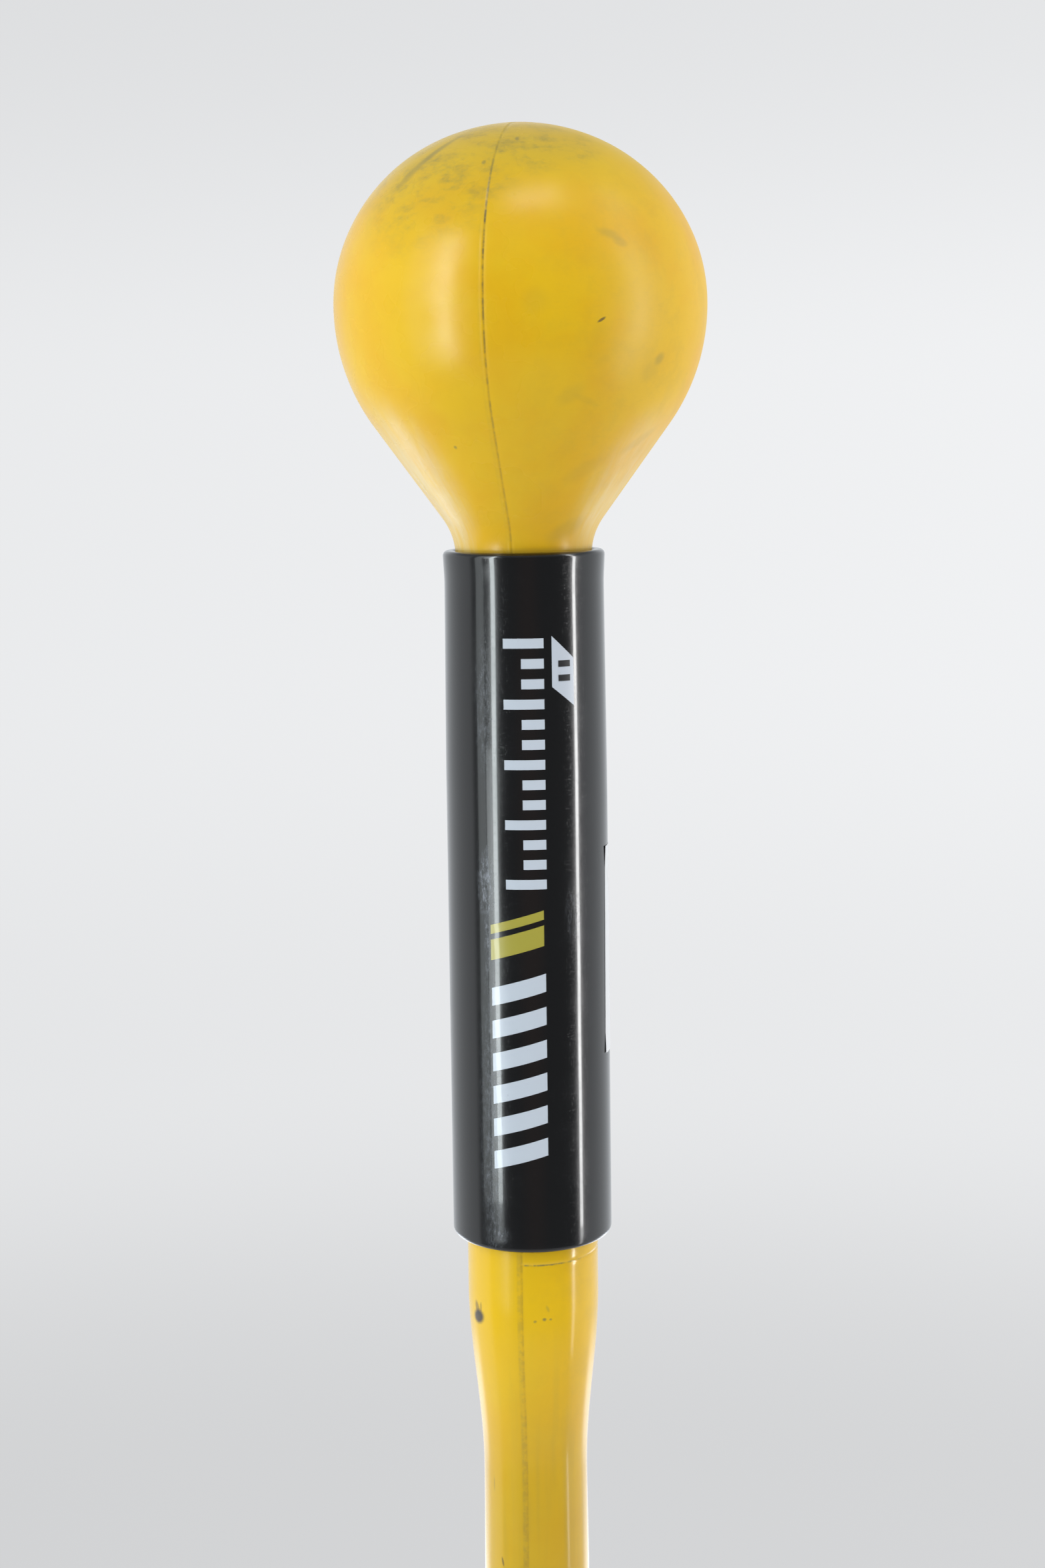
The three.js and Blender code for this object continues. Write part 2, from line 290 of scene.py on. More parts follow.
def bell(value, middle, width):
    """A smooth bump, 1 at the middle."""
    return np.exp(-(((value - middle) / width) ** 2))


def uneven(r, azimuth, z):
    """A shallow wave, never outwards, that breaks up long highlights."""
    place = Vector((r * math.sin(azimuth), r * math.cos(azimuth), z * 0.7)) / 16
    return 0.05 * (noise.noise(place) - 1)


def keep_rest_place(piece):
    """Stores where each point is at rest, so that marks stay put when the piece bends."""
    count = len(piece.data.vertices)
    places = np.zeros(count * 3, np.float32)
    piece.data.vertices.foreach_get("co", places)
    stored = piece.data.attributes.new("rest_place", "FLOAT_VECTOR", "POINT")
    stored.data.foreach_set("vector", places)


def bend_with_shaft(piece):
    """The last thing done to a piece that bends, when its mesh is final."""
    keep_rest_place(piece)
    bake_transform(piece)


def make_cover():
    piece = turn("vinyl_cover", cover_outline(), seam_columns, cover_offset)
    piece.data.materials.append(vinyl_material())
    bend_with_shaft(piece)
    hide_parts("cover_upper", "cover_lower")


# ---- Glass-fibre rod, bored for its two cross pins ----
ROD_BEVEL = 0.4
ROD_RINGS = 230


def make_rod():
    top = box_mm("rod_upper")[1].z
    wall_z = np.linspace(SHAFT_END_Z + ROD_BEVEL, top - ROD_BEVEL, ROD_RINGS)
    wall = [(ROD_RADIUS, z) for z in wall_z]
    end_radius = ROD_RADIUS - ROD_BEVEL
    outline = [(0, SHAFT_END_Z), (end_radius, SHAFT_END_Z), *wall, (end_radius, top), (0, top)]
    piece = turn("fibreglass_rod", outline, even_columns(32), closed=False)
    for pin in ("neck_pin_1", "neck_pin_2"):
        bore_for_pin(piece, pin)
    piece.data.materials.append(fibreglass_material())
    bend_with_shaft(piece)
    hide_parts("rod_upper", "rod_lower")


def bore_for_pin(piece, pin):
    """Drills a clear hole across the piece where the CAD's pin is."""
    low, high = box_mm(pin)
    radius = (high.x - low.x) / 2 + CLEARANCE
    reach = high.y + 2
    ends = [(0, -reach), (radius, -reach), (radius, reach), (0, reach)]
    drill = turn("drill", ends, even_columns(24), closed=False)
    middle = (low + high) / 2 * MM
    drill.data.transform(Matrix.Translation(middle) @ Matrix.Rotation(math.pi / 2, 4, "X"))
    cut = piece.modifiers.new("pin_hole", "BOOLEAN")
    cut.operation = "DIFFERENCE"
    cut.solver = "EXACT"
    cut.object = drill
    seen = piece.evaluated_get(bpy.context.evaluated_depsgraph_get())
    bored = bpy.data.meshes.new_from_object(seen)
    piece.modifiers.clear()
    piece.data = bored
    bpy.data.objects.remove(drill)


# ---- Sleeve ----
def sleeve_profile(drop):
    """Outer radius of the sleeve: a slight draft, with a faint flare at its top lip."""
    spots = [SLEEVE_TOP_DROP, SLEEVE_TOP_DROP + SLEEVE_LIP_HEIGHT, SLEEVE_MIDDLE_DROP, SLEEVE_BOTTOM_DROP]
    radii = [SLEEVE_TOP_RADIUS, SLEEVE_TOP_RADIUS, SLEEVE_MIDDLE_RADIUS, SLEEVE_BOTTOM_RADIUS]
    flare = SLEEVE_LIP_FLARE * (1 - smooth((drop - SLEEVE_TOP_DROP) / SLEEVE_LIP_HEIGHT))
    return float(np.interp(drop, spots, radii)) + flare


def sleeve_wave(azimuth, z):
    """A faint waviness, never outwards, as an extruded tube has."""
    place = Vector((math.sin(azimuth), math.cos(azimuth), z / 26)) * 1.6
    return 0.02 * (noise.noise(place) - 1)


def sleeve_outline():
    """From the inner bottom edge, round the outside and the top, and back down the bore."""
    top = HEAD_Z - SLEEVE_TOP_DROP
    bottom = HEAD_Z - SLEEVE_BOTTOM_DROP
    outer = SLEEVE_EDGE_ROUND
    inner = SLEEVE_INNER_ROUND
    wall = [(sleeve_profile(HEAD_Z - z), z) for z in np.linspace(bottom + outer, top - outer, 110)]
    return [
        *arc(SLEEVE_BORE_RADIUS + inner, bottom + inner, inner, 180, 270, 4),
        *arc(wall[0][0] - outer, bottom + outer, outer, 270, 360, 8),
        *wall[1:-1],
        *arc(wall[-1][0] - outer, top - outer, outer, 0, 90, 8),
        *arc(SLEEVE_BORE_RADIUS + inner, top - inner, inner, 90, 180, 4),
        *[(SLEEVE_BORE_RADIUS, z) for z in np.linspace(top - 2, bottom + 2, 20)],
    ]


def sleeve_offset(azimuths, r, z):
    if r < SLEEVE_BORE_RADIUS + SLEEVE_INNER_ROUND + 0.01:
        return 0 * azimuths
    return np.array([sleeve_wave(azimuth, z) for azimuth in azimuths])


def make_sleeve():
    piece = turn("black_sleeve", sleeve_outline(), even_columns(192), sleeve_offset)
    piece.data.materials.append(sleeve_material())
    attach(piece, "head_end")
    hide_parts("sleeve")


# ---- Print and label: thin sheets wrapped on the sleeve ----
INK_LIFT = 0.012
INK_THICKNESS = 0.02
INK_OVER_INK_LIFT = INK_LIFT + 0.03
WHITE_INK = (0.65, 0.70, 0.78, 1)
YELLOW_INK = (0.46, 0.40, 0.06, 1)
BLACK_INK = (0.02, 0.02, 0.022, 1)
BAR_SLANT = -3.2
STRIPE_THICKNESS = 3.8
STRIPE_STEP = 6.95
TICK_THICKNESS = 2.0
TICK_STEP = 4.1


def wrapped_sheet(corners, lift, thickness, across=12, along=2, curl=None):
    """Points and faces of a closed thin sheet wrapped on the sleeve.

    Its four corners are (arc length, drop), round from the top left. curl(u, v) lifts it off the sleeve."""
    top_left, top_right, low_right, low_left = [np.array(corner, float) for corner in corners]
    points = []
    for height in (lift + thickness, lift):
        for i in range(along + 1):
            for j in range(across + 1):
                u = j / across
                v = i / along
                upper = top_left * (1 - u) + top_right * u
                lower = low_left * (1 - u) + low_right * u
                arc_length, drop = upper * (1 - v) + lower * v
                z = HEAD_Z - drop
                azimuth = arc_length / SLEEVE_MIDDLE_RADIUS
                rise = height + (curl(u, v) if curl else 0)
                r = sleeve_profile(drop) + sleeve_wave(azimuth, z) + rise
                points.append((r * math.sin(azimuth), -r * math.cos(azimuth), z))
    row = across + 1
    size = row * (along + 1)
    faces = []
    for i in range(along):
        for j in range(across):
            p = i * row + j
            faces.append((p, p + row, p + row + 1, p + 1))
            faces.append((size + p, size + p + 1, size + p + row + 1, size + p + row))
    rim = list(range(row))
    rim += [i * row + across for i in range(1, along + 1)]
    rim += [along * row + j for j in range(across - 1, -1, -1)]
    rim += [i * row for i in range(along - 1, 0, -1)]
    for p, q in zip(rim, rim[1:] + rim[:1]):
        faces.append((p, q, size + q, size + p))
    return points, faces


def make_print(name, shapes, lift, material):
    """One piece for all the shapes printed in one ink."""
    points = []
    faces = []
    for corners in shapes:
        new_points, new_faces = wrapped_sheet(corners, lift, INK_THICKNESS)
        faces.extend(tuple(i + len(points) for i in face) for face in new_faces)
        points.extend(new_points)
    piece = link_mesh(name, points, faces, 30)
    piece.data.materials.append(material)
    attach(piece, "head_end")


def bar(left, right, top, bottom, slant=0.0):
    """Corners of a bar across the sleeve, whose right end sits lower by the slant."""
    return [(left, top), (right, top + slant), (right, bottom + slant), (left, bottom)]


def make_prints():
    """Generic bars, ruler ticks and a tag, all drawn as (arc length, drop) on the sleeve."""
    white = ink_material("white_ink", WHITE_INK)
    yellow = ink_material("yellow_ink", YELLOW_INK)
    black = ink_material("black_ink", BLACK_INK)
    stripe_tops = np.arange(138.4, 176, STRIPE_STEP)
    stripes = [bar(-8.0, 3.4, top, top + STRIPE_THICKNESS, BAR_SLANT) for top in stripe_tops]
    make_print("print_stripes", stripes, INK_LIFT, white)
    accents = [bar(-8.1, 3.1, 125.2, 127.1, BAR_SLANT), bar(-8.1, 3.1, 128.3, 132.6, BAR_SLANT)]
    make_print("print_accent_bars", accents, INK_LIFT, yellow)
    ticks = []
    for i, top in enumerate(np.arange(66.4, 116, TICK_STEP)):
        left = -4.6 if i % 3 == 0 else -0.9
        ticks.append(bar(left, 3.8, top, top + TICK_THICKNESS))
    make_print("print_scale_ticks", ticks, INK_LIFT, white)
    tag = [(5.5, 66.0), (10.5, 70.6), (10.5, 80.3), (5.5, 76.3)]
    make_print("print_tag", [tag], INK_LIFT, white)
    marks = [bar(6.9, 9.6, 71.0, 72.3), bar(6.9, 9.6, 73.9, 75.2)]
    make_print("print_tag_marks", marks, INK_OVER_INK_LIFT, black)


LABEL_FRONT_AZIMUTH = 71.5
LABEL_WIDTH = 27.0
CORNER_CURL = 4.0


def make_label():
    """The blank side label: a little crooked, with its corners curling up."""
    low, high = box_mm("sleeve_label")
    top = HEAD_Z - high.z
    bottom = HEAD_Z - low.z
    front = math.radians(LABEL_FRONT_AZIMUTH) * SLEEVE_MIDDLE_RADIUS
    back = front + LABEL_WIDTH
    corners = [(front, top), (back, top + 0.9), (back - 0.8, bottom), (front - 0.8, bottom - 0.9)]

    def curl(u, v):
        corner = max(0.0, abs(u - 0.5) * 2 - 0.8) * max(0.0, abs(v - 0.5) * 2 - 0.8)
        return CORNER_CURL * corner

    points, faces = wrapped_sheet(corners, 0.01, 0.06, across=48, along=60, curl=curl)
    piece = link_mesh("side_label", points, faces, 30)
    piece.data.materials.append(label_material())
    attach(piece, "head_end")
    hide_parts("sleeve_label")


# ---- Grip ----
GRIP_BUTT_RADIUS = 13.2
GRIP_MOUTH_RADIUS = 10.5
GRIP_CAP_HEIGHT = 6.0
RIB_PITCH = 3.2
RIB_DEPTH = 0.4
RIB_CHANNELS = 12
RIB_BANDS = [(16, 96), (104, 176), (184, 256)]
# One rib and its groove: share of the pitch, share of the depth.
RIB_SHAPE = [(0, 0), (0.12, 0.75), (0.2, 1), (0.32, 1), (0.4, 0.75), (0.52, 0), (0.76, 0)]
VENT_RADIUS = 1.6
CAP_WALL = 5.0


def grip_radius(z):
    """Radius of the grip's side, which narrows evenly from the cap to the mouth."""
    share = (z - GRIP_CAP_HEIGHT) / (GRIP_LENGTH - GRIP_CAP_HEIGHT)
    return GRIP_BUTT_RADIUS + (GRIP_MOUTH_RADIUS - GRIP_BUTT_RADIUS) * share


def grip_wall():
    """Points up the grip's side: bands of ribs between plain collars."""
    points = []
    z = GRIP_CAP_HEIGHT + 2.0
    while z < GRIP_LENGTH - 2:
        band = next((b for b in RIB_BANDS if b[0] <= z < b[1] - RIB_PITCH), None)
        if band is None:
            points.append((grip_radius(z), z))
            z += 1.0
            continue
        for share, depth in RIB_SHAPE:
            at = z + share * RIB_PITCH
            points.append((grip_radius(at) - depth * RIB_DEPTH, at))
        z += RIB_PITCH
    return points


def grip_offset(azimuths, r, z):
    """Lengthwise channels that cut the ribs into blocks."""
    if r < GRIP_MOUTH_RADIUS - 1.5 or not any(low <= z < high for low, high in RIB_BANDS):
        return 0 * azimuths
    phase = (azimuths * RIB_CHANNELS / (2 * math.pi)) % 1.0
    return -RIB_DEPTH * np.where(np.abs(phase - 0.5) > 0.44, 1.0, 0.0)


def grip_outline():
    """Round the vent and a shallow ring in the butt, up the side, over the mouth and down the bore."""
    bore = box_mm("grip_tape")[1].x + CLEARANCE
    flat = GRIP_CAP_RADIUS - 2
    return [
        (VENT_RADIUS, 1.0),
        (VENT_RADIUS + 0.4, 0.25),
        (VENT_RADIUS + 1.0, 0),
        (7.4, 0),
        (7.7, 0.35),
        (8.3, 0.35),
        (8.6, 0),
        *arc(flat, 2, 2, -90, 0, 8),
        (GRIP_CAP_RADIUS, GRIP_CAP_HEIGHT - 1.6),
        *arc(GRIP_CAP_RADIUS - 0.8, GRIP_CAP_HEIGHT - 0.8, 0.8, 20, 90, 4),
        (GRIP_BUTT_RADIUS, GRIP_CAP_HEIGHT + 0.6),
        *grip_wall(),
        *arc(grip_radius(GRIP_LENGTH) - 0.8, GRIP_LENGTH - 0.8, 0.8, 0, 90, 4),
        (bore + 0.3, GRIP_LENGTH),
        (bore, GRIP_LENGTH - 0.3),
        (bore, CAP_WALL),
        (VENT_RADIUS, CAP_WALL),
    ]


def make_grip():
    piece = turn("rubber_grip", grip_outline(), even_columns(144), grip_offset, sharp_angle=35)
    piece.data.materials.append(grip_material())
    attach(piece, "grip_end")
    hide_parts("grip")


# ---- Materials ----
class NodeTree:
    """Short ways to add nodes to a tree. Inputs can be sockets or plain numbers."""

    def __init__(self, tree):
        self.tree = tree

    def add(self, kind, **settings):
        node = self.tree.nodes.new("ShaderNode" + kind)
        for key, value in settings.items():
            setattr(node, key, value)
        return node

    def feed(self, socket, value):
        if isinstance(value, bpy.types.NodeSocket):
            self.tree.links.new(value, socket)
        elif value is not None:
            socket.default_value = value

    def math(self, operation, *values, clamp=False):
        node = self.add("Math", operation=operation, use_clamp=clamp)
        for socket, value in zip(node.inputs, values):
            self.feed(socket, value)
        return node.outputs[0]

    def vector(self, operation, *values):
        node = self.add("VectorMath", operation=operation)
        for socket, value in zip(node.inputs, values):
            self.feed(socket, value)
        return node.outputs["Value" if operation in ("LENGTH", "DISTANCE", "DOT_PRODUCT") else "Vector"]

    def noise(self, place, scale, detail=2.0, roughness=0.5):
        node = self.add("TexNoise")
        self.feed(node.inputs["Vector"], place)
        node.inputs["Scale"].default_value = scale
        node.inputs["Detail"].default_value = detail
        node.inputs["Roughness"].default_value = roughness
        return node.outputs["Fac"]

    def band(self, value, low, high, out_low=0.0, out_high=1.0, shape="SMOOTHSTEP"):
        """From out_low to out_high as the value goes from low to high, smoothly or by another shape."""
        node = self.add("MapRange", interpolation_type=shape)
        self.feed(node.inputs["Value"], value)
        for key, number in (("From Min", low), ("From Max", high), ("To Min", out_low), ("To Max", out_high)):
            node.inputs[key].default_value = number
        return node.outputs["Result"]

    def mix(self, factor, first, second):
        """The first colour where the factor is 0, the second where it is 1."""
        node = self.add("Mix", data_type="RGBA")
        self.feed(node.inputs["Factor"], factor)
        self.feed(node.inputs["A"], first)
        self.feed(node.inputs["B"], second)
        return node.outputs["Result"]

    def split(self, place):
        """The x, y and z of a place."""
        node = self.add("SeparateXYZ")
        self.feed(node.inputs[0], place)
        return node.outputs

    def length(self, a, b):
        """The length of the diagonal over two numbers."""
        return self.math("SQRT", self.math("ADD", self.math("MULTIPLY", a, a), self.math("MULTIPLY", b, b)))


class Shader(NodeTree):
    """A Principled material on a piece."""

    def __init__(self, name, **settings):
        self.material = bpy.data.materials.new(name)
        self.material.use_nodes = True
        super().__init__(self.material.node_tree)
        self.surface = self.tree.nodes["Principled BSDF"]
        for socket, value in settings.items():
            self.surface.inputs[socket.replace("_", " ")].default_value = value

    def bump(self, height, strength, distance):
        node = self.add("Bump")
        self.feed(node.inputs["Height"], height)
        node.inputs["Strength"].default_value = strength
        node.inputs["Distance"].default_value = distance
        self.feed(self.surface.inputs["Normal"], node.outputs["Normal"])

    def millimetres(self, kept=False):
        """Places on the piece in millimetres: kept ones stay with a piece that bends."""
        if kept:
            source = self.add("Attribute", attribute_name="rest_place").outputs["Vector"]
        else:
            source = self.add("TexCoord").outputs["Object"]
        return self.vector("MULTIPLY", source, (1 / MM, 1 / MM, 1 / MM))

    def polar(self, place):
        """Azimuth in radians and drop below the ball's equator."""
        x, y, z = self.split(place)
        azimuth = self.math("ARCTAN2", x, self.math("MULTIPLY", y, -1.0))
        return azimuth, self.math("SUBTRACT", HEAD_Z, z)

    def flat(self, across, down):
        """A place on the surface laid flat, for noise."""
        node = self.add("CombineXYZ")
        self.feed(node.inputs[0], across)
        self.feed(node.inputs[1], down)
        return node.outputs[0]

    def stretched(self, place, scale, detail, roughness):
        """Noise with its own scale along each axis."""
        return self.noise(self.vector("MULTIPLY", place, scale), 1.0, detail, roughness)

    def paint(self, colour, roughness=None):
        """Sets the colour and, where it is given, the roughness."""
        self.feed(self.surface.inputs["Base Color"], colour)
        self.feed(self.surface.inputs["Roughness"], roughness)

    def spot(self, azimuth, drop, where, size, radius, tilt=0.0, softness=0.6):
        """1 inside an oval mark on the surface at where = (azimuth in degrees, drop), 0 outside it.

        radius is the surface's, about, and size is the oval's half width and half height."""
        across = self.math("MULTIPLY", self.math("SUBTRACT", azimuth, math.radians(where[0])), radius)
        down = self.math("SUBTRACT", drop, where[1])
        cosine = math.cos(math.radians(tilt))
        sine = math.sin(math.radians(tilt))
        u = self.math("ADD", self.math("MULTIPLY", across, cosine), self.math("MULTIPLY", down, sine))
        v = self.math("SUBTRACT", self.math("MULTIPLY", down, cosine), self.math("MULTIPLY", across, sine))
        reach = self.length(self.math("DIVIDE", u, size[0]), self.math("DIVIDE", v, size[1]))
        return self.band(reach, 1.0 - softness, 1.0 + softness, 1.0, 0.0)


YELLOW = (0.875, 0.530, 0.013, 1)
YELLOW_DEEP = (0.86, 0.480, 0.009, 1)
YELLOW_BROWN = (0.63, 0.40, 0.035, 1)
YELLOW_GREEN = (0.82, 0.56, 0.015, 1)
# A lighter yellow, painted on the neck where more light falls.
YELLOW_PAINTED_LIGHT = (0.97, 0.595, 0.009, 1)
SEAM_DIRT = (0.20, 0.15, 0.06, 1)
GRIME = (0.25, 0.21, 0.07, 1)
STAIN = (0.045, 0.040, 0.040, 1)
# Pale colour of rub marks on the cone, also painting the bright floor's reflection there.
PALE_RUB_AND_SHEEN = (0.86, 0.80, 0.62, 1)
NECK_ROUGHNESS = 0.22
BALL_BOTTOM_DROP = 40
BALL_MARK_RADIUS = 34
BALL_STAIN_RADIUS = 38
NECK_MARK_RADIUS = 13

# Grimy patches on the crown: middle from the ball's centre, reach, strength.
CROWN_PATCHES = [
    ((-15.5, -21.5, 26.0), 25.0, 1.0),
    ((5.0, -19.0, 30.0), 14.0, 0.9),
    ((12.0, 18.0, 28.0), 19.0, 0.6),
]
# Marks on the vinyl: (azimuth, drop), (half width, half height), tilt in degrees, strength.
VINYL_MARKS = [
    ((-48.0, -25.5), (1.4, 4.5), 26, 0.42),
    ((-44.0, -29.3), (1.2, 3.2), 36, 0.42),
    ((28.3, -11.5), (2.2, 0.8), 15, 0.20),
    ((31.5, -10.0), (1.4, 0.8), 15, 0.22),
    ((47.6, 11.7), (1.2, 0.9), -40, 0.32),
    ((44.5, 14.0), (2.2, 1.8), -30, 0.12),
    ((4.1, 1.0), (2.0, 2.2), 0, 0.08),
    ((-14.5, -25.6), (0.5, 0.4), 0, 0.6),
    ((-0.7, -30.6), (0.6, 0.4), 0, 0.6),
    ((16.2, 18.4), (2.5, 1.4), -30, 0.10),
    ((21.9, 19.5), (2.5, 0.6), 20, 0.08),
    ((56.7, 27.3), (5.0, 1.0), -25, 0.12),
    ((33.0, 45.0), (3.2, 1.6), -30, 0.18),
    ((30.0, 33.0), (5.0, 1.6), -20, 0.10),
    ((-28.8, 28.2), (0.4, 0.3), 0, 0.6),
    ((0.9, 210.9), (0.32, 0.25), -20, 0.6),
    ((9.0, 210.5), (0.36, 0.32), 0, 0.8),
    ((14.5, 210.6), (0.26, 0.22), 0, 0.6),
    ((12.0, 208.2), (0.25, 0.7), -20, 0.3),
    ((-53.1, 250.3), (0.25, 1.6), 0, 0.35),
    ((118.0, -14.0), (3.0, 1.0), 20, 0.22),
    ((142.0, 9.0), (1.0, 0.4), -35, 0.6),
    ((-150.0, -20.0), (4.0, 1.6), -15, 0.25),
    ((-128.0, 4.0), (2.4, 0.5), 30, 0.30),
    ((162.0, 24.0), (3.5, 1.2), 10, 0.18),
    ((-98.0, 30.0), (0.5, 0.4), 0, 0.6),
    ((104.0, 30.0), (2.0, 0.4), -40, 0.30),
    ((150.0, 214.0), (0.5, 1.6), 12, 0.45),
    ((-120.0, 226.0), (0.3, 2.2), -5, 0.35),
    ((95.0, 205.0), (0.6, 0.4), 0, 0.5),
]
VINYL_STAINS = [
    ((23.9, 4.6), (0.9, 0.25), -30, 0.75),
    ((-57.5, 212.0), (1.8, 1.4), -35, 0.95),
    ((-59.0, 210.2), (0.7, 1.5), -16, 0.55),
    ((-53.5, 209.8), (0.3, 1.2), 4, 0.4),
    ((-40.6, 267.3), (0.3, 1.0), -15, 0.6),
]


def vinyl_material():
    """Yellow vinyl: handled and a little dull on the ball, glossier on the neck and the shaft."""
    s = Shader("yellow_vinyl", IOR=1.42, Coat_Roughness=0.10, Coat_IOR=1.5)
    place = s.millimetres(kept=True)
    azimuth, drop = s.polar(place)
    across = s.vector("DOT_PRODUCT", place, (1.0, 0.0, 0.0))
    colour = s.mix(s.band(s.noise(place, 0.05, 3, 0.6), 0.35, 0.65), YELLOW, YELLOW_DEEP)
    drawn = s.stretched(place, (0.35, 0.35, 0.02), 2, 0.5)
    streaks = s.math("MULTIPLY", s.band(drawn, 0.45, 0.75, 0.0, 0.35), s.band(drop, 120, 205))
    # Browner towards the bottom of the neck: partly staining, partly painted shade where less light reaches.
    stained_and_shaded_below = s.band(drop, 215, 262, 0.0, 0.5)
    colour = s.mix(s.math("ADD", streaks, stained_and_shaded_below, clamp=True), colour, YELLOW_BROWN)
    # Painted light: the neck just under the sleeve is painted a lighter yellow, where the lamps light it
    # more.
    neck_painted_light = s.math("MULTIPLY", s.band(drop, 180, 195), s.band(drop, 212, 250, 0.75, 0.0))
    colour = s.mix(neck_painted_light, colour, YELLOW_PAINTED_LIGHT)
    colour = handled_film(s, place, across, colour)
    colour = pale_rubs_and_sheen(s, azimuth, drop, colour)
    colour = parting_line(s, place, drop, colour)
    colour = crown_grime(s, place, drop, colour)
    colour = neck_dirt_and_shade(s, place, azimuth, drop, colour)
    colour = marked(s, azimuth, drop, colour, VINYL_MARKS, BALL_MARK_RADIUS, 0.6, GRIME)
    colour = marked(s, azimuth, drop, colour, VINYL_STAINS, BALL_STAIN_RADIUS, 0.4, STAIN)
    s.paint(colour, vinyl_roughness(s, place, across, drop))
    s.feed(s.surface.inputs["Coat Weight"], s.band(drop, 150, 190, 0.0, 0.45))
    return s.material


def vinyl_roughness(s, place, across, drop):
    """Rougher to the right of the ball, even on the neck, and a little uneven all over."""
    worn = s.band(s.noise(place, 0.12, 2, 0.5), 0.35, 0.7, -0.02, 0.03)
    ball = s.math("MULTIPLY", s.band(across, -4.0, 24.0, 0.27, 0.40), s.band(drop, 60, 180, 1.0, 0.0))
    neck = s.band(drop, 60, 180, 0.0, NECK_ROUGHNESS)
    return s.math("ADD", s.math("ADD", ball, neck), worn)


def marked(s, azimuth, drop, colour, marks, ball_radius, softness, ink):
    """The colour with a table of oval marks on it."""
    for where, size, tilt, strength in marks:
        radius = ball_radius if where[1] < BALL_BOTTOM_DROP else NECK_MARK_RADIUS
        mark = s.spot(azimuth, drop, where, size, radius, tilt, softness)
        colour = s.mix(s.math("MULTIPLY", mark, strength), colour, ink)
    return colour


def handled_film(s, place, across, colour):
    """A thin brownish film, broken by fine level scratches, mostly right of the parting line."""
    film = s.band(s.noise(place, 0.16, 5, 0.7), 0.42, 0.72)
    side = s.band(across, -7.5, 18.0, 0.25, 1.0)
    scratches = s.band(s.stretched(place, (0.5, 0.5, 5.0), 3, 0.7), 0.56, 0.68)
    film = s.math("MULTIPLY", s.math("ADD", film, s.math("MULTIPLY", scratches, 0.5)), side)
    return s.mix(s.math("MULTIPLY", film, 0.22, clamp=True), colour, YELLOW_BROWN)


def pale_rubs_and_sheen(s, azimuth, drop, colour):
    """Pale bands down both sides of the ball's cone, drawn out along it: rub marks, with a painted reflection
    of the bright floor below.
    """
    laid_flat = s.flat(s.math("MULTIPLY", azimuth, 22.0), s.math("MULTIPLY", drop, 0.15))
    drawn = s.band(s.noise(laid_flat, 0.5, 5, 0.7), 0.3, 0.65, 0.35, 1.0)
    left = s.spot(azimuth, drop, (-62, 37), (8, 13), 24, softness=0.75)
    right = s.spot(azimuth, drop, (62, 38), (7, 12), 22, softness=0.75)
    # Partly rub marks, partly a painted reflection of the bright floor on the cone's sides.
    rub_and_painted_light = s.math("ADD", s.math("MULTIPLY", left, 0.52), s.math("MULTIPLY", right, 0.34))
    return s.mix(s.math("MULTIPLY", rub_and_painted_light, drawn), colour, PALE_RUB_AND_SHEEN)


def parting_line(s, place, drop, colour):
    """Dirt in the parting line: thin on the ball, a wider dull band with a dark edge on the neck."""
    seam_turn = math.radians(SEAM_AZIMUTH)
    off_plane = s.vector("DOT_PRODUCT", place, (math.cos(seam_turn), math.sin(seam_turn), 0.0))
    patchy = s.band(s.noise(place, 0.45, 3, 0.7), 0.36, 0.62, 0.3, 1.0)
    line = s.band(s.math("ABSOLUTE", s.math("SUBTRACT", off_plane, 0.3)), 0.05, 0.32, 1.0, 0.0)
    line = s.math("MULTIPLY", line, s.band(drop, -25, 40, 1.0, 0.30))
    band = s.band(s.math("ABSOLUTE", s.math("ADD", off_plane, 0.15)), 0.3, 0.9, 0.28, 0.0)
    band = s.math("MULTIPLY", band, s.band(drop, 150, 200, 0.3, 1.0))
    return s.mix(s.math("MULTIPLY", s.math("MAXIMUM", line, band), patchy), colour, SEAM_DIRT)


def crown_grime(s, place, drop, colour):
    """Smeared grime on the crown, finer and darker in places."""
    level = s.vector("MULTIPLY", place, (1.0, 1.0, 1.7))
    smear = s.band(s.noise(level, 0.15, 6, 0.7), 0.42, 0.70)
    reach = 0.0
    for where, size, strength in CROWN_PATCHES:
        centre = (where[0], where[1], HEAD_Z + where[2])
        away = s.band(s.vector("DISTANCE", place, centre), 0.35 * size, size, strength, 0.0)
        reach = s.math("ADD", reach, away, clamp=True)
    fine = s.band(s.noise(level, 0.7, 4, 0.7), 0.35, 0.75, 0.5, 1.0)
    smear = s.math("MULTIPLY", smear, fine)
    blotches = s.math("MULTIPLY", reach, s.math("ADD", s.math("MULTIPLY", smear, 0.58), 0.15))
    colour = s.mix(s.band(drop, -32, -14, 0.7, 0.0), colour, YELLOW_GREEN)
    return s.mix(blotches, colour, GRIME)


